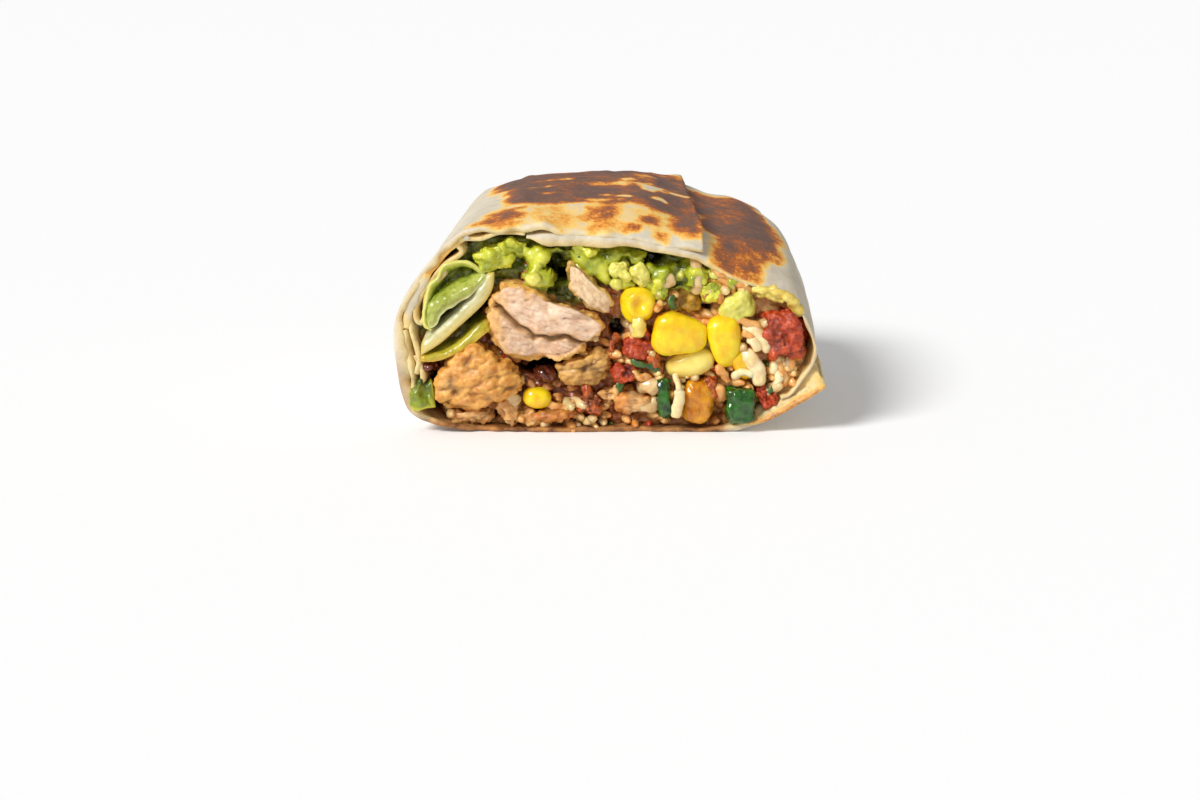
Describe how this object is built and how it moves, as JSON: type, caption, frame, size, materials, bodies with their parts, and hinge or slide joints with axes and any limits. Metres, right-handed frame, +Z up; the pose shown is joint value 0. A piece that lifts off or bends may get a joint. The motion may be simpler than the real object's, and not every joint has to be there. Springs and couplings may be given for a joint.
{
  "type": "half burrito",
  "caption": "Toasted flour-tortilla burrito cut across: a domed half with a folded end, its cut face showing chicken, corn, pepper, tomato, lettuce, guacamole and rice.",
  "frame": {"origin": "middle of the part's footprint, on the surface that it rests on", "axes": "+X across the cut face, +Y from the cut face to the folded end, +Z up"},
  "size_m": [0.0862, 0.0832, 0.0463],
  "materials": {
    "tortilla": "soft flour tortilla, toasted brown in patches",
    "chicken": "cooked meat, fibrous where cut",
    "corn": "wet kernel skin",
    "tomato": "wet diced tomato",
    "green_pepper": "glossy pepper skin",
    "yellow_pepper": "soft cooked pepper",
    "avocado": "moist avocado flesh",
    "guacamole": "moist lumpy paste",
    "lettuce": "thin crisp leaf",
    "cheese": "soft melted cheese",
    "bean": "cooked bean skin",
    "rice": "rice in red sauce"
  },
  "bodies": {
    "root": {"tortilla": "tortilla", "chicken_large": "chicken", "chicken_left": "chicken", "chicken_top": "chicken", "chicken_middle": "chicken", "chicken_low": "chicken", "chicken_right": "chicken", "corn_1": "corn", "corn_2": "corn", "corn_3": "corn", "corn_4": "corn", "corn_5": "corn", "corn_6": "corn", "avocado_1": "avocado", "avocado_2": "avocado", "avocado_3": "avocado", "tomato_1": "tomato", "tomato_2": "tomato", "tomato_3": "tomato", "tomato_4": "tomato", "tomato_5": "tomato", "pepper_green_1": "green_pepper", "pepper_green_2": "green_pepper", "pepper_yellow": "yellow_pepper", "bean_1": "bean", "bean_2": "bean", "cheese_1": "cheese", "cheese_2": "cheese", "cheese_3": "cheese", "lettuce_curl": "lettuce", "lettuce_rib": "lettuce", "lettuce_edge": "lettuce", "lettuce_scrap": "lettuce", "guacamole": "guacamole", "rice_filling": "rice"}
  },
  "joints": []
}
